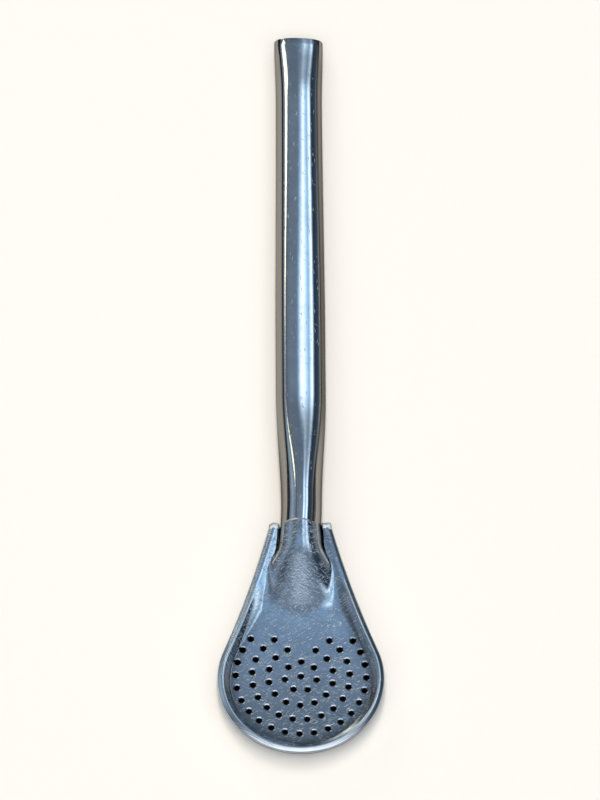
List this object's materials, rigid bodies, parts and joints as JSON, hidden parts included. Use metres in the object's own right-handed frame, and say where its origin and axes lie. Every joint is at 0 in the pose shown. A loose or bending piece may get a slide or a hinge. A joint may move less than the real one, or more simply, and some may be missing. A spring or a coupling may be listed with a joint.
{
  "type": "bombilla",
  "caption": "Steel bombilla: a flattened drinking tube set in a spoon-shaped strainer head with a perforated front plate and a rolled rim.",
  "frame": {"origin": "middle of the part's length and width, on the table under the flat of the back shell", "axes": "+Y from the strainer head to the mouth, +Z out of the perforated front face, +X to the right as seen from the front with the mouth away"},
  "size_m": [0.036, 0.1755, 0.01],
  "materials": {
    "stem_steel": "polished stainless steel tube with fine hairline scratches",
    "front_steel": "polished stainless steel sheet, worn with short fine scratches",
    "back_steel": "polished stainless steel sheet with a bright rolled edge",
    "solder": "bright silver solder"
  },
  "bodies": {
    "root": {"stem_tube": "stem_steel", "front_filter_shell": "front_steel", "back_shell": "back_steel", "neck_solder": "solder"}
  },
  "joints": []
}
